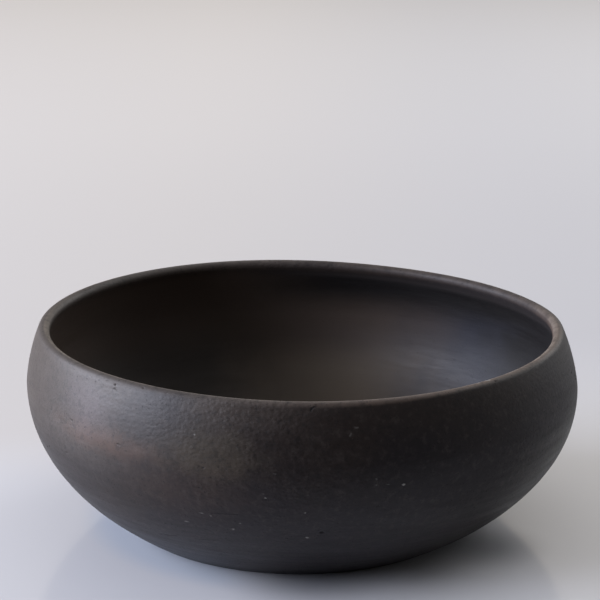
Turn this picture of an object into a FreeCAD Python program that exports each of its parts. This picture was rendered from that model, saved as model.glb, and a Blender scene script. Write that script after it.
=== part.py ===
import FreeCAD, Part
import math
import os

os.makedirs("parts", exist_ok=True)

# Hand-built bowl in one piece of fired black clay, millimetres.
# +Z up, origin at the centre of the resting face.

BOWL_DIAMETER = 250.0      # greatest outside diameter, at the belly
BOWL_HEIGHT = 91.0         # resting face to the top of the lip
BELLY_HEIGHT = 64.0        # height of the greatest diameter
FOOT_DIAMETER = 154.0      # flattened face the bowl rests on
LIP_CENTRE_DIAMETER = 232.0
LIP_THICKNESS = 5.4        # rounded lip, a full half circle
WALL_THICKNESS = 6.5       # wall at the belly
BASE_THICKNESS = 8.0       # floor at the centre
FLOOR_DIAMETER = 120.0     # flat part of the inside floor

# How far each curve follows its end tangents, and the angles of those tangents.
FOOT_PULL = 19.0
FOOT_RISE_DEG = 30.0       # the belly leaves the resting face at this slope
BELLY_PULL = 34.0
SHOULDER_PULL = 7.0
LIP_PULL = 6.5
LIP_LEAN_DEG = 25.5        # the shoulder leans in by this much where the lip starts
INNER_BELLY_PULL = 31.0
FLOOR_PULL = 28.0

belly_radius = BOWL_DIAMETER / 2.0
foot_radius = FOOT_DIAMETER / 2.0
floor_radius = FLOOR_DIAMETER / 2.0
lip_radius = LIP_THICKNESS / 2.0
lip_centre = FreeCAD.Vector(LIP_CENTRE_DIAMETER / 2.0, 0.0, BOWL_HEIGHT - lip_radius)
lean = math.radians(LIP_LEAN_DEG)
rise = math.radians(FOOT_RISE_DEG)


def point(radius, height):
    return FreeCAD.Vector(radius, 0.0, height)


def on_lip(angle):
    """Point on the lip's circle, at an angle from the outward radial direction."""
    return lip_centre + point(lip_radius * math.cos(angle), lip_radius * math.sin(angle))


def bezier(*poles):
    curve = Part.BezierCurve()
    curve.setPoles(list(poles))
    return curve.toShape()


# Outside: resting face, round belly, shoulder leaning in.
axis_bottom = point(0.0, 0.0)
foot_edge = point(foot_radius, 0.0)
belly = point(belly_radius, BELLY_HEIGHT)
lip_outer = on_lip(lean)
lip_top = on_lip(math.pi / 2.0)
lip_inner = on_lip(math.pi + lean)
along_lean = point(math.sin(lean), -math.cos(lean))

rest_line = Part.makeLine(axis_bottom, foot_edge)
belly_curve = bezier(
    foot_edge,
    foot_edge + point(FOOT_PULL * math.cos(rise), FOOT_PULL * math.sin(rise)),
    belly - point(0.0, BELLY_PULL),
    belly,
)
shoulder_curve = bezier(
    belly,
    belly + point(0.0, SHOULDER_PULL),
    lip_outer + along_lean * LIP_PULL,
    lip_outer,
)
lip_arc = Part.Arc(lip_outer, lip_top, lip_inner).toShape()

# Inside: the same run of curves, one wall thickness in.
inner_belly = point(belly_radius - WALL_THICKNESS, BELLY_HEIGHT)
floor_edge = point(floor_radius, BASE_THICKNESS)
axis_floor = point(0.0, BASE_THICKNESS)

inner_shoulder_curve = bezier(
    lip_inner,
    lip_inner + along_lean * LIP_PULL,
    inner_belly + point(0.0, SHOULDER_PULL),
    inner_belly,
)
inner_belly_curve = bezier(
    inner_belly,
    inner_belly - point(0.0, INNER_BELLY_PULL),
    floor_edge + point(FLOOR_PULL, 0.0),
    floor_edge,
)
floor_line = Part.makeLine(floor_edge, axis_floor)
axis_line = Part.makeLine(axis_floor, axis_bottom)

outline = Part.Wire([
    rest_line,
    belly_curve,
    shoulder_curve,
    lip_arc,
    inner_shoulder_curve,
    inner_belly_curve,
    floor_line,
    axis_line,
])
bowl = Part.Face(outline).revolve(
    FreeCAD.Vector(0.0, 0.0, 0.0),
    FreeCAD.Vector(0.0, 0.0, 1.0),
    360.0,
)
bowl.exportStep("parts/bowl.step")
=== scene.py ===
from collections import namedtuple
import math
import random

import bmesh
import bpy
from mathutils import Matrix, Vector, noise


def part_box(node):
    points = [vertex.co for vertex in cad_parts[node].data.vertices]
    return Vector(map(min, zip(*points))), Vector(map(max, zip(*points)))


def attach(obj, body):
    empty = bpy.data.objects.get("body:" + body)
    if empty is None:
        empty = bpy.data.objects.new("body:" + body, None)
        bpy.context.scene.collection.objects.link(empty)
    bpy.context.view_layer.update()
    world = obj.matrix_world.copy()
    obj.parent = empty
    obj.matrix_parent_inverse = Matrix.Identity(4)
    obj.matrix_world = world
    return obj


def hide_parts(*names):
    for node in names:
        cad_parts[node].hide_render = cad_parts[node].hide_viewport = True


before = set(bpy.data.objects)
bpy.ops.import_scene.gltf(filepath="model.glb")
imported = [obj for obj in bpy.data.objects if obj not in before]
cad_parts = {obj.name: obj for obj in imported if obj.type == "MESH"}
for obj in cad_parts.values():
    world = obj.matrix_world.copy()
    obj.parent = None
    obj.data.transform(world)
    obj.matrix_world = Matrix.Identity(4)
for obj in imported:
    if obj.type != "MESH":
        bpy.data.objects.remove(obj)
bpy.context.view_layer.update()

# ---------------------------------------------------------------------------------------------
# Sizes. The frame's box sets the scale; MM is one of the bowl's own millimetres, in metres.
# ---------------------------------------------------------------------------------------------
low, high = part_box("bowl")
RADIUS = high.x
HEIGHT = high.z - low.z
MM = RADIUS / 125.0

FOOT_RADIUS = 77.0 * MM
BELLY_HEIGHT = 64.0 * MM
LIP_RADIUS = 2.7 * MM
LIP_CENTRE = (116.0 * MM, HEIGHT - LIP_RADIUS)
LIP_LEAN = math.radians(25.5)
FOOT_RISE = math.radians(30.0)
WALL = 6.5 * MM
FLOOR_RADIUS = 60.0 * MM    # of the bowl's own inside floor
FLOOR_HEIGHT = 8.0 * MM
HUB = 0.05                  # share of the foot and of the inside floor that the middle triangles take

# How far each curve's poles lie from its ends.
FOOT_PULL = 19.0 * MM
BELLY_PULL = 34.0 * MM
SHOULDER_PULL = 7.0 * MM
LIP_PULL = 6.5 * MM
INNER_BELLY_PULL = 31.0 * MM
FLOOR_PULL = 28.0 * MM

# How the hand-built form strays from a true turned one, as shares of the radius.
LEAN = -0.0399              # the whole wall drops towards +X
LEAN_EASE = 0.0327          # and drops less again near the rim
RIM_WAVES = ((1, 0.0057, 1.57), (2, 0.0025, -1.37), (3, 0.0025, 0.52))  # rim height: waves round, size, turn
OUT_OF_ROUND = ((2, 0.0074, 0.47), (3, 0.0105, -0.47))  # plan shape, growing towards the rim
BELLY_SHIFT = 0.0090        # the belly bulges further on +X
KNUCKLE = 0.75 * MM         # a corner pushed out in the rim
KNUCKLE_ANGLE = math.radians(9.0)
KNUCKLE_WIDTH = math.radians(12.0)
KNUCKLE_RISE = 6            # a high power of the height keeps it near the rim

# Unevenness of the surface: its size, how fine it is round the bowl, its length along the outline, an offset.
UNEVENNESS = (
    (0.32 * MM, 1.7, 1000.0 * MM / 14.0, (3.1, 0.0, 0.0)),   # broad lumps left by the hand
    (0.05 * MM, 2.3, 7.0 * MM, (0.0, 7.7, 0.0)),             # long flat bands left by scraping
    (0.035 * MM, 9.0, 3.2 * MM, (0.0, 0.0, 11.3)),           # strokes of the burnishing stone
)
EVEN_FOOT = (0.5 * MM, 12.0 * MM)                            # it grows from nothing above the foot
EVEN_RIM = (HEIGHT - 9.0 * MM, HEIGHT - 3.0 * MM)            # and loses most of its size below the rim
EVEN_RIM_SHARE = 0.75

# Points round the bowl, and along each stretch of the outline.
SEGMENTS = 352
RINGS = {
    "foot": 9,
    "belly": 106,
    "shoulder": 26,
    "lip": 18,
    "inner_shoulder": 16,
    "inner_belly": 48,
    "floor": 6,
}


# ---------------------------------------------------------------------------------------------
# The outline, as (radius, height) points from the centre of the foot round to the inside floor
# ---------------------------------------------------------------------------------------------
def bezier(poles, count):
    """Points along a cubic curve, without its first one."""
    a, b, c, d = poles
    points = []
    for k in range(1, count + 1):
        t = k / count
        w = ((1 - t) ** 3, 3 * (1 - t) ** 2 * t, 3 * (1 - t) * t * t, t ** 3)
        points.append(tuple(w[0] * a[i] + w[1] * b[i] + w[2] * c[i] + w[3] * d[i] for i in (0, 1)))
    return points


def straight(start, end, count):
    """Points along a line, without its first one."""
    return [tuple(start[i] + (end[i] - start[i]) * k / count for i in (0, 1)) for k in range(1, count + 1)]


def on_lip(angle):
    return (LIP_CENTRE[0] + LIP_RADIUS * math.cos(angle), LIP_CENTRE[1] + LIP_RADIUS * math.sin(angle))


def outline():
    """Returns the outline's points, and the stretch that each one belongs to."""
    foot_edge = (FOOT_RADIUS, 0.0)
    foot_pole = (FOOT_RADIUS + FOOT_PULL * math.cos(FOOT_RISE), FOOT_PULL * math.sin(FOOT_RISE))
    widest = (RADIUS, BELLY_HEIGHT)
    lip_out, lip_in = on_lip(LIP_LEAN), on_lip(math.pi + LIP_LEAN)
    lean = (math.sin(LIP_LEAN) * LIP_PULL, -math.cos(LIP_LEAN) * LIP_PULL)
    inner = RADIUS - WALL
    inner_widest = (inner, BELLY_HEIGHT)
    floor_edge = (FLOOR_RADIUS, FLOOR_HEIGHT)
    sweep = [LIP_LEAN + math.pi * k / RINGS["lip"] for k in range(1, RINGS["lip"] + 1)]
    stretches = {
        "foot": straight((FOOT_RADIUS * HUB, 0.0), foot_edge, RINGS["foot"]),
        "belly": bezier(
            (foot_edge, foot_pole, (RADIUS, BELLY_HEIGHT - BELLY_PULL), widest),
            RINGS["belly"],
        ),
        "shoulder": bezier(
            (
                widest,
                (RADIUS, BELLY_HEIGHT + SHOULDER_PULL),
                (lip_out[0] + lean[0], lip_out[1] + lean[1]),
                lip_out,
            ),
            RINGS["shoulder"],
        ),
        "lip": [on_lip(a) for a in sweep],
        "inner_shoulder": bezier(
            (
                lip_in,
                (lip_in[0] + lean[0], lip_in[1] + lean[1]),
                (inner, BELLY_HEIGHT + SHOULDER_PULL),
                inner_widest,
            ),
            RINGS["inner_shoulder"],
        ),
        "inner_belly": bezier(
            (
                inner_widest,
                (inner, BELLY_HEIGHT - INNER_BELLY_PULL),
                (FLOOR_RADIUS + FLOOR_PULL, FLOOR_HEIGHT),
                floor_edge,
            ),
            RINGS["inner_belly"],
        ),
        "floor": straight(floor_edge, (FLOOR_RADIUS * HUB, FLOOR_HEIGHT), RINGS["floor"]),
    }
    points, names = [], []
    for name, part in stretches.items():
        points += part
        names += [name] * len(part)
    return points, names


# ---------------------------------------------------------------------------------------------
# The hand-made form
# ---------------------------------------------------------------------------------------------
# A point of the outline: where it is, its normal out of the clay, how far along it lies, and its stretch.
Point = namedtuple("Point", "r z nr nz run name")


def outline_points():
    points, names = outline()
    result, run = [], 0.0
    for k, (r, z) in enumerate(points):
        before, after = points[max(k - 1, 0)], points[min(k + 1, len(points) - 1)]
        tangent = Vector((after[0] - before[0], after[1] - before[1])).normalized()
        if k:
            run += math.hypot(r - points[k - 1][0], z - points[k - 1][1])
        result.append(Point(r, z, tangent.y, -tangent.x, run, names[k]))
    return result


OUTLINE = outline_points()
LIP_RUN = [p.run for p in OUTLINE if p.name == "lip"]
LIP_MIDDLE = LIP_RUN[len(LIP_RUN) // 2]
OUTER = [p for p in OUTLINE if p.run <= LIP_MIDDLE]
LIP_BAND = 10.0 * MM        # either side of the lip's middle, where wear shows
INSIDE_BAND = 8.0 * MM      # from the lip's middle to where the inside's colours are full


def smooth(value, start, end):
    t = min(1.0, max(0.0, (value - start) / (end - start)))
    return t * t * (3.0 - 2.0 * t)


def waves_round(waves, angle):
    return sum(size * math.cos(count * angle + turn) for count, size, turn in waves)


def clay(p, angle):
    """Where a point of the turned outline goes on the hand-made bowl, at an angle from +X."""
    c, s = math.cos(angle), math.sin(angle)
    rise = p.z / HEIGHT
    out = 0.0
    for size, fineness, length, offset in UNEVENNESS:
        out += size * noise.noise(Vector((c * fineness, s * fineness, p.run / length)) + Vector(offset))
    out *= smooth(p.z, *EVEN_FOOT) * (1.0 - EVEN_RIM_SHARE * smooth(p.z, *EVEN_RIM))
    round_off = 1.0 + rise * waves_round(OUT_OF_ROUND, angle) + BELLY_SHIFT * 4.0 * rise * (1.0 - rise) * c
    off_knuckle = math.remainder(angle - KNUCKLE_ANGLE, 2.0 * math.pi) / KNUCKLE_WIDTH
    knuckle = KNUCKLE * math.exp(-off_knuckle * off_knuckle) * rise ** KNUCKLE_RISE
    radius = p.r * round_off + p.nr * out + knuckle
    lift = (LEAN * rise + LEAN_EASE * rise * rise) * c + rise * rise * waves_round(RIM_WAVES, angle)
    return Vector((radius * c, radius * s, p.z + p.nz * out + lift * RADIUS))


def build_bowl():
    """The bowl's mesh, with the layers that the material reads: three for the place and two for the marks."""
    mesh = bpy.data.meshes.new("bowl_clay")
    bm = bmesh.new()
    layers = {name: bm.verts.layers.float.new(name) for name in ("run", "lip", "inside", "pit", "fleck")}
    run, lip, inside = layers["run"], layers["lip"], layers["inside"]
    rings = []
    for p in OUTLINE:
        belly_shade = []
        for k in range(SEGMENTS):
            v = bm.verts.new(clay(p, 2.0 * math.pi * k / SEGMENTS))
            v[run] = p.run
            v[lip] = 1.0 - smooth(abs(p.run - LIP_MIDDLE), 0.0, LIP_BAND)
            v[inside] = smooth(p.run, LIP_MIDDLE, LIP_MIDDLE + INSIDE_BAND)
            belly_shade.append(v)
        rings.append(belly_shade)
    under = bm.verts.new((0.0, 0.0, 0.0))
    floor = bm.verts.new((0.0, 0.0, FLOOR_HEIGHT))
    floor[run] = OUTLINE[-1].run
    floor[inside] = 1.0
    for belly_shade, above in zip(rings, rings[1:]):
        for k in range(SEGMENTS):
            n = (k + 1) % SEGMENTS
            bm.faces.new((belly_shade[k], belly_shade[n], above[n], above[k]))
    for k in range(SEGMENTS):
        n = (k + 1) % SEGMENTS
        bm.faces.new((under, rings[0][n], rings[0][k]))
        bm.faces.new((rings[-1][k], rings[-1][n], floor))
    bm.normal_update()
    return mesh, bm


# ---------------------------------------------------------------------------------------------
# Marks in the clay
# ---------------------------------------------------------------------------------------------
def on_outside(azimuth, height):
    """The point of the outside at this height, and at this azimuth, in degrees from -Y towards +X."""
    nearest = min(OUTER, key=lambda p: abs(p.z - height * MM))
    return clay(nearest, math.radians(azimuth - 90.0))


def on_rim(azimuth, outward):
    """A point on the lip; outward is 1 on its outer side, 0 on top and -1 on its inner side."""
    run = LIP_MIDDLE - outward * LIP_RADIUS * math.pi / 2.0
    nearest = min(OUTLINE, key=lambda p: abs(p.run - run))
    return clay(nearest, math.radians(azimuth - 90.0))


# Pits: azimuth and height, then half width, half height and depth in millimetres, then strength.
PITS = [
    (-40.0, 89.0, 0.60, 0.60, 0.30, 0.9),
    (-40.0, 87.0, 0.50, 0.50, 0.30, 0.8),
    (-51.0, 69.0, 0.60, 0.60, 0.25, 0.8),
    (-37.0, 66.0, 0.65, 0.50, 0.25, 0.8),
    (-35.5, 67.0, 0.60, 0.35, 0.08, 0.5),
    (-31.5, 68.0, 1.10, 0.40, 0.04, 0.3),
    (-63.5, 49.0, 0.60, 0.60, 0.20, 0.7),
    (-54.0, 52.0, 0.80, 0.50, 0.15, 0.5),
    (-65.5, 47.0, 0.60, 0.60, 0.25, 0.8),
    (-10.5, 82.0, 0.45, 0.40, 0.07, 0.5),
    (-12.0, 85.0, 0.40, 0.40, 0.07, 0.4),
    (-8.0, 88.0, 0.50, 0.45, 0.15, 0.6),
    (-16.0, 80.0, 0.45, 0.40, 0.07, 0.5),
    (-27.0, 65.5, 0.50, 0.40, 0.06, 0.4),
    (-18.0, 63.0, 0.70, 0.60, 0.18, 0.85),
    (-19.0, 54.0, 0.70, 0.60, 0.18, 0.85),
    (-6.0, 51.0, 0.55, 0.55, 0.20, 0.8),
    (5.0, 35.0, 1.05, 0.85, 0.40, 1.0),
    (15.8, 48.0, 0.90, 0.60, 0.08, 0.5),
]
# Pale mineral grains, the same way; they stand a little proud.
GRAINS = [
    (20.5, 56.5, 1.05, 0.70, -0.12, 1.0),
    (17.5, 57.5, 0.50, 0.45, -0.06, 0.4),
    (15.0, 60.0, 0.60, 0.75, -0.06, 0.42),
    (15.0, 57.5, 0.60, 0.60, -0.06, 0.42),
    (-20.0, 76.5, 0.60, 0.55, -0.08, 0.7),
    (-8.0, 84.0, 0.50, 0.45, -0.06, 0.35),
    (-4.0, 63.0, 0.50, 0.45, -0.06, 0.4),
    (-6.5, 54.0, 0.45, 0.80, -0.06, 0.5),
    (-6.0, 52.5, 0.60, 0.60, -0.06, 0.65),
    (2.0, 54.0, 0.70, 0.40, -0.05, 0.3),
    (1.5, 45.5, 0.65, 0.55, -0.06, 0.65),
    (2.0, 32.0, 0.90, 0.70, -0.08, 0.7),
    (16.0, 48.0, 0.50, 0.40, -0.05, 0.3),
    (-11.5, 38.0, 0.80, 0.60, -0.06, 0.5),
    (-13.2, 34.5, 0.95, 1.00, -0.06, 0.55),
    (-19.2, 41.2, 0.80, 0.55, -0.06, 0.55),
    (-17.5, 40.5, 0.90, 0.60, -0.06, 0.5),
    (-16.0, 40.5, 0.70, 0.60, -0.06, 0.5),
    (-23.3, 35.4, 1.50, 0.50, -0.05, 0.55),
    (58.0, 72.5, 0.50, 0.60, -0.06, 0.4),
]
# Lines: kind, start and end as azimuth and height, half width, depth and strength.
LINES = [
    ("pit", (2.6, 87.8), (2.7, 89.4), 0.38, 0.14, 1.0),
    ("pit", (2.7, 89.1), (3.5, 90.2), 0.40, 0.14, 1.0),
    ("pit", (2.5, 84.0), (2.5, 72.5), 0.35, 0.04, 0.3),
    ("pit", (-17.0, 42.0), (-11.8, 42.6), 0.40, 0.05, 0.7),
    ("pit", (-31.5, 23.6), (-28.0, 24.6), 0.40, 0.05, 0.6),
    ("pit", (-23.2, 25.3), (-18.0, 26.6), 0.35, 0.04, 0.45),
    ("fleck", (10.0, 77.8), (10.3, 79.4), 0.50, 0.03, 0.42),
    ("fleck", (11.2, 81.4), (11.7, 81.9), 0.50, 0.03, 0.38),
]
# Chips in the lip: kind, azimuth, how far outward, half width, half height, depth and strength.
CHIPS = [
    ("fleck", 41.2, 0.2, 1.20, 0.80, 0.05, 0.6),
    ("pit", 42.4, 0.3, 0.60, 0.60, 0.20, 0.8),
    ("fleck", 44.2, 0.2, 1.70, 0.90, 0.05, 0.8),
    ("pit", 45.3, 0.8, 0.65, 0.60, 0.15, 0.8),
    ("pit", -32.8, 0.9, 0.60, 0.50, 0.20, 0.5),
    ("pit", -62.0, 0.4, 0.70, 0.60, 0.25, 0.4),
    ("pit", 128.0, 0.6, 0.80, 0.60, 0.30, 0.5),
    ("pit", 212.0, 0.7, 0.60, 0.50, 0.25, 0.5),
]
HIDDEN_MARKS = 26           # of each kind, on the sides away from the camera
HIDDEN_AZIMUTHS = (70.0, 270.0)
HIDDEN_SIZES = (0.45, 0.85)
HIDDEN_SHAPES = (0.5, 1.0)  # height as a share of width
# Each kind: its heights, its depth and its strengths.
HIDDEN_KINDS = (("pit", (14.0, 87.0), 0.22, (0.5, 0.9)), ("fleck", (12.0, 84.0), -0.06, (0.3, 0.8)))
MARK_SEED = 41

# How a mark is cut: the mesh is made finer a little way round it, and it fades out towards its edge.
CUTS = 3
CUT_MARGIN = 0.8 * MM
MOVED_REACH = 1.6           # vertices that a mark may move, as a share of its reach
SPOT_EDGE = (0.35, 1.15)    # shares of a spot's half size where it starts to fade and where it ends
LINE_EDGE = (0.3, 1.3)      # the same for a line
RAGGED = 0.35               # how ragged a spot's edge is
RAGGED_SIZE = 0.55 * MM
RAGGED_SHIFTS = (0.0, 50.0)  # each spot reads the noise elsewhere, so no two are alike


def refine(bm, centre, reach):
    """Splits the faces around a mark, so that it has real shape. Returns the vertices in reach."""
    near = [f for f in bm.faces if (f.calc_center_median() - centre).length < reach + CUT_MARGIN]
    edges = list(dict.fromkeys(e for f in near for e in f.edges))
    bmesh.ops.subdivide_edges(bm, edges=edges, cuts=CUTS, use_grid_fill=True)
    moved = [v for v in bm.verts if (v.co - centre).length < reach * MOVED_REACH]
    bm.normal_update()
    return moved


def distance_to(point, start, end):
    along = end - start
    t = max(0.0, min(1.0, (point - start).dot(along) / along.length_squared))
    return (point - start - along * t).length


def spot_shape(centre, half, tall, shift):
    """A ragged spot, as a function of the place: 1 in its middle and 0 outside it."""
    shift = Vector((shift, 0.0, 0.0))

    def amount(place):
        off = place - centre
        level = math.hypot(off.x, off.y) / half
        ragged = RAGGED * noise.noise(place / RAGGED_SIZE + shift)
        return 1.0 - smooth(math.hypot(level, off.z / tall) + ragged, *SPOT_EDGE)

    return amount


def line_shape(start, end, width):
    """A line with soft edges, the same way."""

    def amount(place):
        return 1.0 - smooth(distance_to(place, start, end), LINE_EDGE[0] * width, LINE_EDGE[1] * width)

    return amount


def press(bm, layer_name, vertices, shape, depth, strength):
    """Presses vertices in by depth times shape, and writes shape times strength into the layer."""
    layer = bm.verts.layers.float[layer_name]
    moves = []
    for v in vertices:
        amount = shape(v.co)
        if amount > 0.0:
            moves.append((v, amount, v.normal.copy()))
    for v, amount, normal in moves:
        v.co -= normal * depth * amount
        v[layer] = max(v[layer], amount * strength)


def add_marks(bm):
    rng = random.Random(MARK_SEED)
    spots = [("pit", on_outside(*m[:2]), *m[2:]) for m in PITS]
    spots += [("fleck", on_outside(*m[:2]), *m[2:]) for m in GRAINS]
    spots += [(m[0], on_rim(*m[1:3]), *m[3:]) for m in CHIPS]
    for _ in range(HIDDEN_MARKS):
        for kind, heights, depth, strengths in HIDDEN_KINDS:
            centre = on_outside(rng.uniform(*HIDDEN_AZIMUTHS), rng.uniform(*heights))
            half = rng.uniform(*HIDDEN_SIZES)
            tall = half * rng.uniform(*HIDDEN_SHAPES)
            spots.append((kind, centre, half, tall, depth, rng.uniform(*strengths)))
    for kind, centre, half, tall, depth, strength in spots:
        vertices = refine(bm, centre, max(half, tall) * MM)
        shape = spot_shape(centre, half * MM, tall * MM, rng.uniform(*RAGGED_SHIFTS))
        press(bm, kind, vertices, shape, depth * MM, strength)
    for kind, start, end, width, depth, strength in LINES:
        a, b = on_outside(*start), on_outside(*end)
        vertices = refine(bm, (a + b) / 2.0, (b - a).length / 2.0)
        press(bm, kind, vertices, line_shape(a, b, width * MM), depth * MM, strength)


def make_bowl():
    mesh, bm = build_bowl()
    add_marks(bm)
    bm.to_mesh(mesh)
    bm.free()
    for polygon in mesh.polygons:
        polygon.use_smooth = True
    piece = bpy.data.objects.new("bowl_clay", mesh)
    bpy.context.scene.collection.objects.link(piece)
    return piece


# ---------------------------------------------------------------------------------------------
# Short calls for node trees
# ---------------------------------------------------------------------------------------------
class Nodes:
    """Builds one node tree. Values may be sockets, which are linked, or constants, which are set."""

    def __init__(self, tree):
        self.tree = tree
        self.tree.nodes.clear()

    def new(self, kind, **settings):
        node = self.tree.nodes.new("ShaderNode" + kind)
        for name, value in settings.items():
            setattr(node, name, value)
        return node

    def put(self, value, socket):
        if isinstance(value, bpy.types.NodeSocket):
            self.tree.links.new(value, socket)
        else:
            socket.default_value = value

    def split(self, vector):
        node = self.new("SeparateXYZ")
        self.put(vector, node.inputs[0])
        return node.outputs["X"], node.outputs["Y"], node.outputs["Z"]

    def math(self, operation, a, b):
        node = self.new("Math", operation=operation)
        self.put(a, node.inputs[0])
        self.put(b, node.inputs[1])
        return node.outputs[0]

    def times(self, a, b):
        return self.math("MULTIPLY", a, b)

    def vector_math(self, operation, a, b=(0.0, 0.0, 0.0)):
        """The vector that the operation gives, or the number for LENGTH and DISTANCE."""
        node = self.new("VectorMath", operation=operation)
        self.put(a, node.inputs[0])
        self.put(b, node.inputs[1])
        return node.outputs["Value" if operation in ("LENGTH", "DISTANCE") else "Vector"]

    def ramp(self, value, low, high, start=0.0, end=1.0):
        """A smooth step: start where value is at low, end where it is at high."""
        node = self.new("MapRange", interpolation_type="SMOOTHSTEP")
        sockets = ("Value", "From Min", "From Max", "To Min", "To Max")
        for name, setting in zip(sockets, (value, low, high, start, end)):
            self.put(setting, node.inputs[name])
        return node.outputs["Result"]

    def band(self, value, edges, start=0.0, end=1.0):
        """The same, between two edges in the bowl's millimetres."""
        return self.ramp(value, edges[0] * MM, edges[1] * MM, start, end)

    def wandering(self, value, texture, reach):
        """The value, moved up to reach either way by a texture, so that masks read from it are ragged."""
        return self.math("ADD", value, self.ramp(texture, *TEXTURE_SPREAD, -reach, reach))

    def mix(self, factor, a, b):
        node = self.new("Mix", data_type="RGBA")
        self.put(factor, node.inputs["Factor"])
        self.put(a, node.inputs["A"])
        self.put(b, node.inputs["B"])
        return node.outputs["Result"]


class Material(Nodes):
    """A material with one Principled shader, and the place on the object that its masks read."""

    def __init__(self, name):
        self.material = bpy.data.materials.new(name)
        self.material.use_nodes = True
        super().__init__(self.material.node_tree)
        self.shader = self.new("BsdfPrincipled")
        self.put(self.shader.outputs["BSDF"], self.new("OutputMaterial").inputs["Surface"])
        self.place = self.new("TexCoord").outputs["Object"]
        self.x, self.y, self.z = self.split(self.place)

    def attribute(self, name):
        return self.new("Attribute", attribute_name=name).outputs["Fac"]

    def noise(self, vector, scale, detail, roughness):
        node = self.new("TexNoise")
        self.put(vector, node.inputs["Vector"])
        node.inputs["Scale"].default_value = scale
        node.inputs["Detail"].default_value = detail
        node.inputs["Roughness"].default_value = roughness
        return node.outputs["Fac"]

    def cells(self, vector, scale, smoothness):
        """Distance from the middle of the nearest of many rounded cells."""
        node = self.new("TexVoronoi", feature="SMOOTH_F1")
        self.put(vector, node.inputs["Vector"])
        node.inputs["Scale"].default_value = scale
        node.inputs["Smoothness"].default_value = smoothness
        return node.outputs["Distance"]

    def bump(self, height, depth, normal):
        """Relief of this depth on the normal given, or on the bare surface for None."""
        node = self.new("Bump")
        node.inputs["Strength"].default_value = 1.0
        node.inputs["Distance"].default_value = depth
        self.put(height, node.inputs["Height"])
        if normal is not None:
            self.put(normal, node.inputs["Normal"])
        return node.outputs["Normal"]


# ---------------------------------------------------------------------------------------------
# Burnished black clay
# ---------------------------------------------------------------------------------------------
CHARCOAL = (0.0104, 0.0069, 0.0085, 1.0)
WARM_BLACK = (0.0163, 0.0100, 0.0082, 1.0)
DUST_AND_SHEEN_BROWN = (0.0560, 0.0430, 0.0350, 1.0)
FIRE_BROWN = (0.1000, 0.0580, 0.0400, 1.0)
OLIVE_BROWN = (0.0880, 0.0700, 0.0450, 1.0)
PAINTED_SHEEN_GREY = (0.1380, 0.1120, 0.1180, 1.0)
WORN_GREY = (0.0560, 0.0450, 0.0390, 1.0)
WORN_BROWN = (0.1000, 0.0660, 0.0480, 1.0)
WORN_PALE_AND_HIGHLIGHT = (0.1900, 0.1550, 0.1280, 1.0)
MINERAL = (0.2400, 0.2300, 0.2100, 1.0)
PIT_BLACK = (0.0050, 0.0045, 0.0043, 1.0)
INSIDE_WARM = (0.0620, 0.0450, 0.0355, 1.0)
INSIDE_EARTH_AND_LIGHT = (0.1080, 0.0830, 0.0600, 1.0)
INSIDE_LOW_SHADE = (0.0300, 0.0230, 0.0190, 1.0)
INSIDE_COOL_REFLECTION = (0.0182, 0.0190, 0.0276, 1.0)
INSIDE_UPPER_SHADE = (0.0060, 0.0052, 0.0056, 1.0)
INSIDE_RIM = (0.0240, 0.0205, 0.0205, 1.0)

# Textures: features to the metre, detail and roughness.
CLOUDS = (20.0, 3.0, 0.55)
PATCHES = (60.0, 2.0, 0.5)
MOTTLE = (110.0, 4.0, 0.6)
FRECKLES = (330.0, 3.0, 0.65)
DIMPLES = (520.0, 3.0, 0.65)
SPECKS = (1050.0, 1.0, 0.5)
GRAIN = (1500.0, 2.0, 0.6)
# Two that are drawn out round the bowl: features to the metre along X, along Y and along the outline.
STREAKS = ((40.0, 40.0, 420.0), 3.0, 0.6)
STROKES = ((9.0, 9.0, 110.0), 2.0, 0.5)
# Pebbles, a little flattened: stretch along each axis, cells to the metre, smoothness.
PEBBLES = ((1.0, 1.0, 1.3), 520.0, 0.5)
TEXTURE_SPREAD = (0.3, 0.7)             # a texture's usual low and high

# A mask of two numbers goes from none at the first to full at the second. On the bowl they are millimetres:
# heights for Z, sides for X and depths for Y. On a texture or a layer they are its own values, and two more
# numbers may follow, for what the mask gives at each end.
SHOULDER_HEIGHTS = (44.0, 80.0)
SHOULDER_TILT = 0.28                    # the shoulder's brown reaches further down on -X
SHOULDER_WANDER = 14.0
BLOTCHES = (0.50, 0.75, 0.0, 0.35)
# Brown dust, partly painted sheen on the -X side, which faces the window: under the rim, and on the belly's
# far -X side. Heights, sides and strength.
DUST_AND_SHEEN = (((72.0, 93.0), (24.0, -30.0), 0.9), ((46.0, 64.0), (-64.0, -92.0), 0.8))
DUST_AND_SHEEN_BROKEN = (*TEXTURE_SPREAD, 0.75, 1.0)

INSIDE_WANDER = 10.0
# Painted shade: darker low on -X inside.
LOW_SHADE_HEIGHTS, LOW_SHADE_SIDES = (62.0, 40.0), (0.0, -50.0)
# Painted shade on the upper inside wall, which leans in and faces down.
UPPER_SHADE_HEIGHTS, UPPER_SHADE_SIDES = (60.0, 78.0), (-45.0, 30.0)
UPPER_SHADE_END_SIDES = (78.0, 106.0)          # painted shade again in full on the far +X side
# Earthy brown low on +X inside, partly its own tone and partly a painted pool of window light.
EARTH_AND_LIGHT_HEIGHTS, EARTH_AND_LIGHT_SIDES = (52.0, 34.0), (-45.0, 12.0)
# A painted reflection of the bluish window: a cool tint inside on +X.
COOL_REFLECTION_SIDES, COOL_REFLECTION_DEPTHS = (34.0, 84.0), (-60.0, 0.0)
RIM_BAND = (0.0, 0.30)

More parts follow.
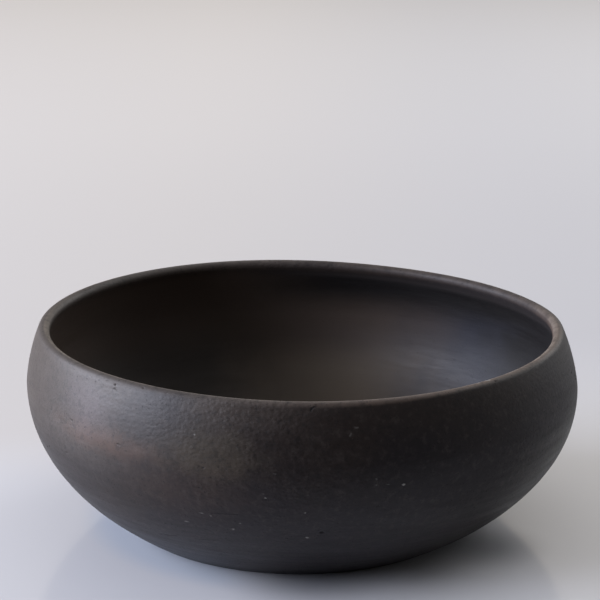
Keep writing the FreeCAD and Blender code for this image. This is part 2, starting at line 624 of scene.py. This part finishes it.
# Clouds on the outside: colour, middle and half size in millimetres, then strength. Some were left by the
# fire; on -X others are painted reflection, highlight and shade that shape the sheen.
FIRE_CLOUDS_AND_SHEEN = (
    # A painted reflection of a warm surface under the -X sheen, which from other sides reads as a fire cloud.
    (FIRE_BROWN, (-84.0, -92.0, 67.0), (31.0, 40.0, 7.3), 0.56),
    (FIRE_BROWN, (-46.0, -109.0, 53.0), (36.0, 44.0, 17.0), 0.12),
    (OLIVE_BROWN, (-36.0, -118.0, 70.0), (25.0, 40.0, 13.0), 0.35),
    # A painted highlight: pale grey that brightens the peak of the sheen on -X.
    (PAINTED_SHEEN_GREY, (-88.0, -84.0, 78.0), (13.0, 30.0, 15.0), 0.34),
    # Painted shade: charcoal that dims the sheen on -X nearer the front, so that it peaks further out.
    (CHARCOAL, (-58.0, -107.0, 87.0), (20.0, 24.0, 14.0), 0.80),
)
CLOUD_EDGE = (0.1, 1.25)                # shares of the half size
CLOUD_WANDER = 0.2

# Wear along the lip: a brown band, which is narrower on +X, and a pale crest that is partly wear and partly a
# painted highlight line. Both are weaker at the back.
WORN_SIDES = (-60.0, 80.0)              # from grey to brown
WORN_BAND = (0.42, 0.70)
WORN_PATCHES = (0.30, 0.62, 0.60, 0.95)
WORN_DEPTHS, WORN_BACK = (-30.0, 50.0), 0.22
NARROW_SIDES, NARROWING = (30.0, 80.0), 0.16
CREST_BAND = (0.90, 0.985)
CREST_PATCHES = (0.35, 0.65, 0.35, 0.9)
CREST_DEPTHS, CREST_BACK = (-20.0, 60.0), 0.14

PALE_FRECKLES = (0.50, 0.72, 0.0, 0.30)
DARK_FRECKLES = (0.50, 0.30, 0.0, 0.45)
DARK_SPECKS = (0.66, 0.74, 0.0, 0.6)
BROWN_GRAIN = (0.66, 0.78, 0.0, 0.25)
MARK_COLOUR = (0.1, 0.9, 0.0, 0.85)

STREAK_ROUGHNESS = (0.30, 0.72, 0.46, 0.53)
STROKE_ROUGHNESS = (0.35, 0.65, -0.02, 0.02)
SPECK_ROUGHNESS = (0.64, 0.74, 0.0, 0.15)
LIP_ROUGHNESS = (0.30, 0.85, 0.0, 0.14)
INSIDE_ROUGHNESS = (0.08, -0.02)        # below the painted upper shade, then in it
PIT_ROUGHNESS = 0.3
CLAY_IOR = 1.45

# Relief: depths in millimetres, and how much of it is left where the surface is calmer.
STREAK_DEPTH = 0.02
PEBBLE_DEPTH = 0.20
DIMPLE_DEPTH = 0.13
GRAIN_DEPTH = 0.04
INSIDE_CALM = 0.8                       # share of the relief that the inside loses
PATCH_RELIEF = (0.35, 0.65, 0.5, 1.0)
LEFT_SIDES, LEFT_RELIEF = (-70.0, -15.0), 0.30
RIGHT_SIDES, RIGHT_RELIEF = (-5.0, 45.0), 0.35
LOW_HEIGHTS, LOW_RELIEF = (28.0, 62.0), 0.35


class Clay(Material):
    """The bowl's material: its textures and mesh layers, and one method for each part of the look."""

    def __init__(self):
        super().__init__("black_clay")
        self.run, self.lip, self.inside = (self.attribute(name) for name in ("run", "lip", "inside"))
        self.pit, self.fleck = (self.attribute(name) for name in ("pit", "fleck"))
        self.outside = self.math("SUBTRACT", 1.0, self.inside)
        self.clouds = self.noise(self.place, *CLOUDS)
        self.mottle = self.noise(self.place, *MOTTLE)
        self.freckles = self.noise(self.place, *FRECKLES)
        self.specks = self.noise(self.place, *SPECKS)
        self.grain = self.noise(self.place, *GRAIN)
        self.streaks = self.burnished(*STREAKS)

    def burnished(self, scales, detail, roughness):
        """A texture whose features follow the burnishing strokes, round the bowl."""
        wound = self.new("CombineXYZ")
        for name, value in (("X", self.x), ("Y", self.y), ("Z", self.run)):
            self.put(value, wound.inputs[name])
        return self.noise(self.vector_math("MULTIPLY", wound.outputs[0], scales), 1.0, detail, roughness)

    def outside_colour(self):
        """Charcoal, then warm black on the shoulder, with brown dust that is partly painted sheen on -X."""
        # Charcoal low on the belly is partly the clay's own tone and partly painted shade, darker towards the
        # bottom.
        height = self.math("SUBTRACT", self.z, self.times(self.x, SHOULDER_TILT))
        height = self.wandering(height, self.clouds, SHOULDER_WANDER * MM)
        colour = self.mix(self.band(height, SHOULDER_HEIGHTS), CHARCOAL, WARM_BLACK)
        colour = self.mix(self.ramp(self.mottle, *BLOTCHES), colour, WARM_BLACK)
        dust_and_sheen = [
            self.times(self.band(self.z, heights, 0.0, strength), self.band(self.x, sides))
            for heights, sides, strength in DUST_AND_SHEEN
        ]
        dust_and_sheen = self.times(self.math("MAXIMUM", *dust_and_sheen), self.ramp(self.mottle, *DUST_AND_SHEEN_BROKEN))
        return self.mix(dust_and_sheen, colour, DUST_AND_SHEEN_BROWN)

    def inside_colour(self):
        """Warm brown, with painted shade low on -X, earthy brown and a painted pool of light low on +X,
        painted shade above, a painted cool reflection on +X, and paler at the rim.
        """
        across = self.wandering(self.x, self.clouds, INSIDE_WANDER * MM)
        # Painted shade low on -X.
        low_shade = self.times(self.band(self.z, LOW_SHADE_HEIGHTS), self.band(across, LOW_SHADE_SIDES))
        upper, shaded_sides = self.band(self.z, UPPER_SHADE_HEIGHTS), self.band(across, UPPER_SHADE_SIDES)
        # Earthy brown with a painted pool of window light, low on +X.
        earth_and_light = self.times(self.band(self.z, EARTH_AND_LIGHT_HEIGHTS), self.band(across, EARTH_AND_LIGHT_SIDES))
        # Painted cool reflection on +X.
        cool_reflected = self.times(self.band(across, COOL_REFLECTION_SIDES), self.band(self.y, COOL_REFLECTION_DEPTHS))
        cool_shade = self.math("MAXIMUM", upper, self.band(across, UPPER_SHADE_END_SIDES))
        cool_reflection_and_shade = self.mix(cool_shade, INSIDE_COOL_REFLECTION, INSIDE_UPPER_SHADE)
        colour = self.mix(low_shade, INSIDE_WARM, INSIDE_LOW_SHADE)
        # Painted shade above.
        colour = self.mix(self.times(upper, shaded_sides), colour, INSIDE_UPPER_SHADE)
        colour = self.mix(earth_and_light, colour, INSIDE_EARTH_AND_LIGHT)
        colour = self.mix(cool_reflected, colour, cool_reflection_and_shade)
        return self.mix(self.times(self.ramp(self.lip, *RIM_BAND), shaded_sides), colour, INSIDE_RIM)

    def with_fire_clouds_and_sheen(self, colour):
        # Fire clouds, and on -X painted reflection, highlight and shade.
        for tone, middle, size, strength in FIRE_CLOUDS_AND_SHEEN:
            off = self.vector_math("SUBTRACT", self.place, [v * MM for v in middle])
            off = self.vector_math("MULTIPLY", off, [1.0 / (v * MM) for v in size])
            reach = self.wandering(self.vector_math("LENGTH", off), self.mottle, CLOUD_WANDER)
            tint_mask = self.times(self.ramp(reach, *CLOUD_EDGE, strength, 0.0), self.outside)
            colour = self.mix(tint_mask, colour, tone)
        return colour

    def with_worn_lip(self, colour):
        wear = self.mix(self.band(self.x, WORN_SIDES), WORN_GREY, WORN_BROWN)
        narrowed = self.math("SUBTRACT", self.lip, self.band(self.x, NARROW_SIDES, 0.0, NARROWING))
        worn = self.times(self.ramp(narrowed, *WORN_BAND), self.ramp(self.mottle, *WORN_PATCHES))
        worn = self.times(worn, self.band(self.y, WORN_DEPTHS, 1.0, WORN_BACK))
        colour = self.mix(worn, colour, wear)
        # The pale crest: partly wear, partly a painted highlight line along the lip.
        crest = self.times(self.ramp(self.lip, *CREST_BAND), self.ramp(self.mottle, *CREST_PATCHES))
        crest = self.times(crest, self.band(self.y, CREST_DEPTHS, 1.0, CREST_BACK))
        return self.mix(crest, colour, WORN_PALE_AND_HIGHLIGHT)

    def with_speckles(self, colour):
        for texture, mask, tone in (
            (self.freckles, PALE_FRECKLES, WORN_GREY),
            (self.freckles, DARK_FRECKLES, PIT_BLACK),
            (self.specks, DARK_SPECKS, PIT_BLACK),
        ):
            colour = self.mix(self.times(self.ramp(texture, *mask), self.outside), colour, tone)
        return self.mix(self.ramp(self.grain, *BROWN_GRAIN), colour, FIRE_BROWN)

    def with_marks(self, colour):
        """Pale grains and dark pits, where the mesh has their shapes."""
        colour = self.mix(self.ramp(self.fleck, *MARK_COLOUR), colour, MINERAL)
        return self.mix(self.ramp(self.pit, *MARK_COLOUR), colour, PIT_BLACK)

    def roughness(self):
        total = self.ramp(self.streaks, *STREAK_ROUGHNESS)
        for more in (
            self.ramp(self.burnished(*STROKES), *STROKE_ROUGHNESS),
            self.ramp(self.specks, *SPECK_ROUGHNESS),
            self.times(self.pit, PIT_ROUGHNESS),
            self.times(self.inside, self.band(self.z, UPPER_SHADE_HEIGHTS, *INSIDE_ROUGHNESS)),
            self.ramp(self.lip, *LIP_ROUGHNESS),
        ):
            total = self.math("ADD", total, more)
        return total

    def relief(self):
        stretch, count, smoothness = PEBBLES
        pebbles = self.cells(self.vector_math("MULTIPLY", self.place, stretch), count, smoothness)
        pebbles = self.math("SUBTRACT", 1.0, pebbles)
        calm = self.math("SUBTRACT", 1.0, self.times(self.inside, INSIDE_CALM))
        bumpy = self.ramp(self.noise(self.place, *PATCHES), *PATCH_RELIEF)
        bumpy = self.times(bumpy, self.band(self.x, LEFT_SIDES, LEFT_RELIEF, 1.0))
        bumpy = self.times(bumpy, self.band(self.x, RIGHT_SIDES, 1.0, RIGHT_RELIEF))
        bumpy = self.times(self.band(self.z, LOW_HEIGHTS, LOW_RELIEF, 1.0), self.times(calm, bumpy))
        normal = None
        for texture, share, depth in (
            (self.streaks, calm, STREAK_DEPTH),
            (pebbles, bumpy, PEBBLE_DEPTH),
            (self.noise(self.place, *DIMPLES), bumpy, DIMPLE_DEPTH),
            (self.grain, calm, GRAIN_DEPTH),
        ):
            normal = self.bump(self.times(texture, share), depth * MM, normal)
        return normal


def clay_material():
    n = Clay()
    colour = n.mix(n.inside, n.outside_colour(), n.inside_colour())
    for step in (n.with_fire_clouds_and_sheen, n.with_worn_lip, n.with_speckles, n.with_marks):
        colour = step(colour)
    n.put(colour, n.shader.inputs["Base Color"])
    n.put(n.roughness(), n.shader.inputs["Roughness"])
    n.put(n.relief(), n.shader.inputs["Normal"])
    n.shader.inputs["IOR"].default_value = CLAY_IOR
    return n.material


# ---------------------------------------------------------------------------------------------
# Stage: floor, room, lights and camera, in metres
# ---------------------------------------------------------------------------------------------
STAGE_REACH = 9.0
STAGE_SIDES = 96
STAGE_ROUGHNESS = 0.12
# The floor's colours on -X and on +X: near the bowl, then behind it, then far off. Their changes in
# brightness are painted light and shade.
STAGE_LEFT = ((0.655, 0.658, 0.684, 1.0), (0.603, 0.585, 0.580, 1.0), (0.950, 0.925, 0.925, 1.0))
STAGE_RIGHT = ((0.822, 0.822, 0.846, 1.0), (0.572, 0.577, 0.612, 1.0), (0.795, 0.805, 0.855, 1.0))
LEFT_TO_RIGHT = (-0.12, 0.20)           # along X
LEFT_BEHIND = (0.02, 0.12)              # along Y, on -X
RIGHT_BEHIND = (0.05, 0.30)             # along Y, on +X
FAR_OFF = (0.15, 1.8)                   # along Y
# A painted bluish shade in a ring round the foot on -X, where the belly hides the warm wall.
UNDER_BELLY_SHADE = (0.565, 0.610, 0.684, 1.0)
UNDER_BELLY_SHADE_REACH = (0.103, 0.087)
UNDER_BELLY_SHADE_SIDES = (-0.008, -0.040)
# Painted contact shadows close to the foot: middle, outer and inner reach, strength.
CONTACT_SHADOW = (0.330, 0.335, 0.355, 1.0)
CONTACT_SHADOWS = (
    ((0.005, -0.080, 0.0), 0.042, 0.002, 1.0),
    ((0.085, -0.044, 0.0), 0.032, 0.002, 0.85),
)
# Painted shade in what the bowl mirrors of the floor in front of it and on +X, where a dark card would stand;
# only mirrored rays see it.
BLACK = (0.0, 0.0, 0.0, 1.0)
MIRROR_SHADE_SHARE = 0.94                       # of the floor's colour, which the painted shade takes away
MIRROR_SHADE_FRONT = (-0.07, -0.28)             # along Y
MIRROR_SHADE_SIDES = (-0.40, -0.02)             # along X
MIRROR_SHADE_RIGHT = (0.05, 0.12, 0.0, 0.50)    # along X, on +X


def floor_material():
    """Painted light and shade: lighter further off, painted shadows close to the foot, and painted shade
    where the bowl mirrors it.
    """
    n = Material("pale_floor")
    far = n.ramp(n.y, *FAR_OFF)
    left = n.mix(n.ramp(n.y, *LEFT_BEHIND), STAGE_LEFT[0], n.mix(far, *STAGE_LEFT[1:]))
    right = n.mix(n.ramp(n.y, *RIGHT_BEHIND), STAGE_RIGHT[0], n.mix(far, *STAGE_RIGHT[1:]))
    colour = n.mix(n.ramp(n.x, *LEFT_TO_RIGHT), left, right)

    reach = n.vector_math("LENGTH", n.place)
    belly_shade = n.times(n.ramp(reach, *UNDER_BELLY_SHADE_REACH), n.ramp(n.x, *UNDER_BELLY_SHADE_SIDES))
    colour = n.mix(belly_shade, colour, UNDER_BELLY_SHADE)
    for middle, outer, inner, strength in CONTACT_SHADOWS:
        reach = n.vector_math("DISTANCE", n.place, middle)
        colour = n.mix(n.ramp(reach, outer, inner, 0.0, strength), colour, CONTACT_SHADOW)

    mirrored = n.new("LightPath").outputs["Is Glossy Ray"]
    front = n.times(n.ramp(n.y, *MIRROR_SHADE_FRONT), n.ramp(n.x, *MIRROR_SHADE_SIDES))
    mirror_shade = n.times(n.math("MAXIMUM", front, n.ramp(n.x, *MIRROR_SHADE_RIGHT)), mirrored)
    colour = n.mix(n.times(mirror_shade, MIRROR_SHADE_SHARE), colour, BLACK)
    n.put(colour, n.shader.inputs["Base Color"])
    n.shader.inputs["Roughness"].default_value = STAGE_ROUGHNESS
    return n.material


def make_floor():
    mesh = bpy.data.meshes.new("floor")
    bm = bmesh.new()
    bmesh.ops.create_circle(bm, cap_ends=True, radius=STAGE_REACH, segments=STAGE_SIDES)
    bm.to_mesh(mesh)
    bm.free()
    floor = bpy.data.objects.new("floor", mesh)
    bpy.context.scene.collection.objects.link(floor)
    mesh.materials.append(floor_material())
    return floor


# The room's light by direction: where each part begins and is full, along one axis of the direction.
BEHIND = (-0.2, 0.6)                    # along Y
RAISED = (0.30, 0.55)                   # along Z
OVERHEAD = (0.45, 0.95)                 # along Z
TO_THE_RIGHT = (0.2, 0.7)               # along X
FRONT_LEVEL = 0.03                      # in front, as a share of the level behind
WALL_LEVEL = 0.50                       # low behind the bowl, which the floor mirrors
UPPER_LEVEL = 0.85                      # higher behind it
RIGHT_LEVEL = 0.16
TOP_LEVEL = 0.45
WALL_COLOUR = (1.0, 0.88, 0.70, 1.0)
UPPER_COLOUR = (0.97, 0.96, 0.98, 1.0)  # higher up, and on +X
BACKDROP = (0.66, 0.655, 0.68, 1.0)     # what the camera sees past the floor


def make_world():
    """A soft room, which lights the bowl, and a plain backdrop, which only the camera sees."""
    world = bpy.data.worlds.new("soft_room")
    bpy.context.scene.world = world
    world.use_nodes = True
    n = Nodes(world.node_tree)
    x, y, z = n.split(n.new("TexCoord").outputs["Generated"])
    wall = n.times(n.ramp(y, *BEHIND, FRONT_LEVEL, 1.0), n.ramp(z, *RAISED, WALL_LEVEL, UPPER_LEVEL))
    sides = n.math("MAXIMUM", wall, n.ramp(x, *TO_THE_RIGHT, 0.0, RIGHT_LEVEL))
    level = n.math("MAXIMUM", sides, n.ramp(z, *OVERHEAD, 0.0, TOP_LEVEL))
    cooler = n.math("MAXIMUM", n.ramp(z, *RAISED), n.ramp(x, *TO_THE_RIGHT))
    room, backdrop, choice = n.new("Background"), n.new("Background"), n.new("MixShader")
    n.put(level, room.inputs["Strength"])
    n.put(n.mix(cooler, WALL_COLOUR, UPPER_COLOUR), room.inputs["Color"])
    n.put(BACKDROP, backdrop.inputs["Color"])
    n.put(n.new("LightPath").outputs["Is Camera Ray"], choice.inputs[0])
    n.put(room.outputs[0], choice.inputs[1])
    n.put(backdrop.outputs[0], choice.inputs[2])
    n.put(choice.outputs[0], n.new("OutputWorld").inputs["Surface"])


# Area lights: place, aim, width and height, power in watts, colour.
WINDOW = ((-1.85, -0.14, 0.74), (0.0, 0.0, 0.06), (2.1, 1.0), 85.0, (0.82, 0.855, 1.0))
FILL = ((1.02, 1.1, 0.9), (0.0, 0.0, 0.05), (1.2, 0.8), 9.6, (0.97, 0.98, 1.0))


def area_light(name, place, aim, size, power, colour):
    data = bpy.data.lights.new(name, "AREA")
    data.shape = "RECTANGLE"
    data.size, data.size_y = size
    data.energy = power
    data.color = colour
    light = bpy.data.objects.new(name, data)
    light.location = place
    light.rotation_mode = "QUATERNION"
    light.rotation_quaternion = (Vector(place) - Vector(aim)).to_track_quat("Z", "Y")
    bpy.context.scene.collection.objects.link(light)
    return light


CAMERA_LENS = 138.0                     # mm, on this sensor
CAMERA_SENSOR = 36.0
CAMERA_ELEVATION = math.radians(15.73)
CAMERA_ROLL = math.radians(-0.25)
CAMERA_DISTANCE = 8.353 * RADIUS
CAMERA_AIM = Vector((0.0052 * RADIUS, 0.0, 0.8150 * RADIUS))


def make_camera():
    data = bpy.data.cameras.new("camera")
    data.lens = CAMERA_LENS
    data.sensor_width = CAMERA_SENSOR
    camera = bpy.data.objects.new("camera", data)
    back = Vector((0.0, -math.cos(CAMERA_ELEVATION), math.sin(CAMERA_ELEVATION)))
    turn = back.to_track_quat("Z", "Y").to_matrix() @ Matrix.Rotation(-CAMERA_ROLL, 3, "Z")
    camera.matrix_world = Matrix.Translation(CAMERA_AIM + back * CAMERA_DISTANCE) @ turn.to_4x4()
    bpy.context.scene.collection.objects.link(camera)
    bpy.context.scene.camera = camera


bowl = make_bowl()
bowl.data.materials.append(clay_material())
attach(bowl, "root")
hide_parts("bowl")

floor = make_floor()
make_world()
window = area_light("window", *WINDOW)
fill = area_light("fill", *FILL)
make_camera()

bpy.context.scene.view_settings.view_transform = "Standard"
